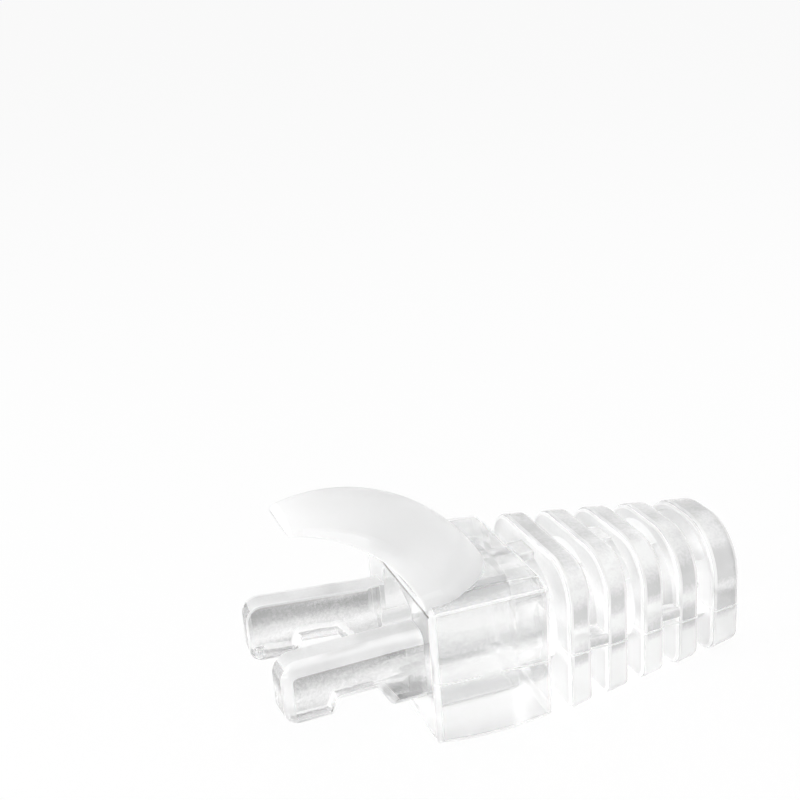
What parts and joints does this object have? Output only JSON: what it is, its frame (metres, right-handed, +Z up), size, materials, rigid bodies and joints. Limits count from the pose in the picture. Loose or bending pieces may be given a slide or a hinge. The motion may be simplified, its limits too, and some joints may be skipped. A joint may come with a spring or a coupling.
{
  "type": "cable strain relief boot",
  "caption": "Clear soft boot that slides over a network cable behind a modular plug: square housing, ribbed tapered sleeve, arched latch guard and plug prongs.",
  "frame": {"origin": "on the cable axis, in the flat front face that meets the plug", "axes": "+X along the cable, away from the plug; +Z up, toward the latch guard; +Y across, completing a right-handed frame"},
  "size_m": [0.0374, 0.014, 0.0187],
  "materials": {
    "clear_moulding": "clear glossy soft moulding with a smooth frosted latch guard"
  },
  "bodies": {
    "root": {"strain_relief_boot": "clear_moulding"}
  },
  "joints": []
}
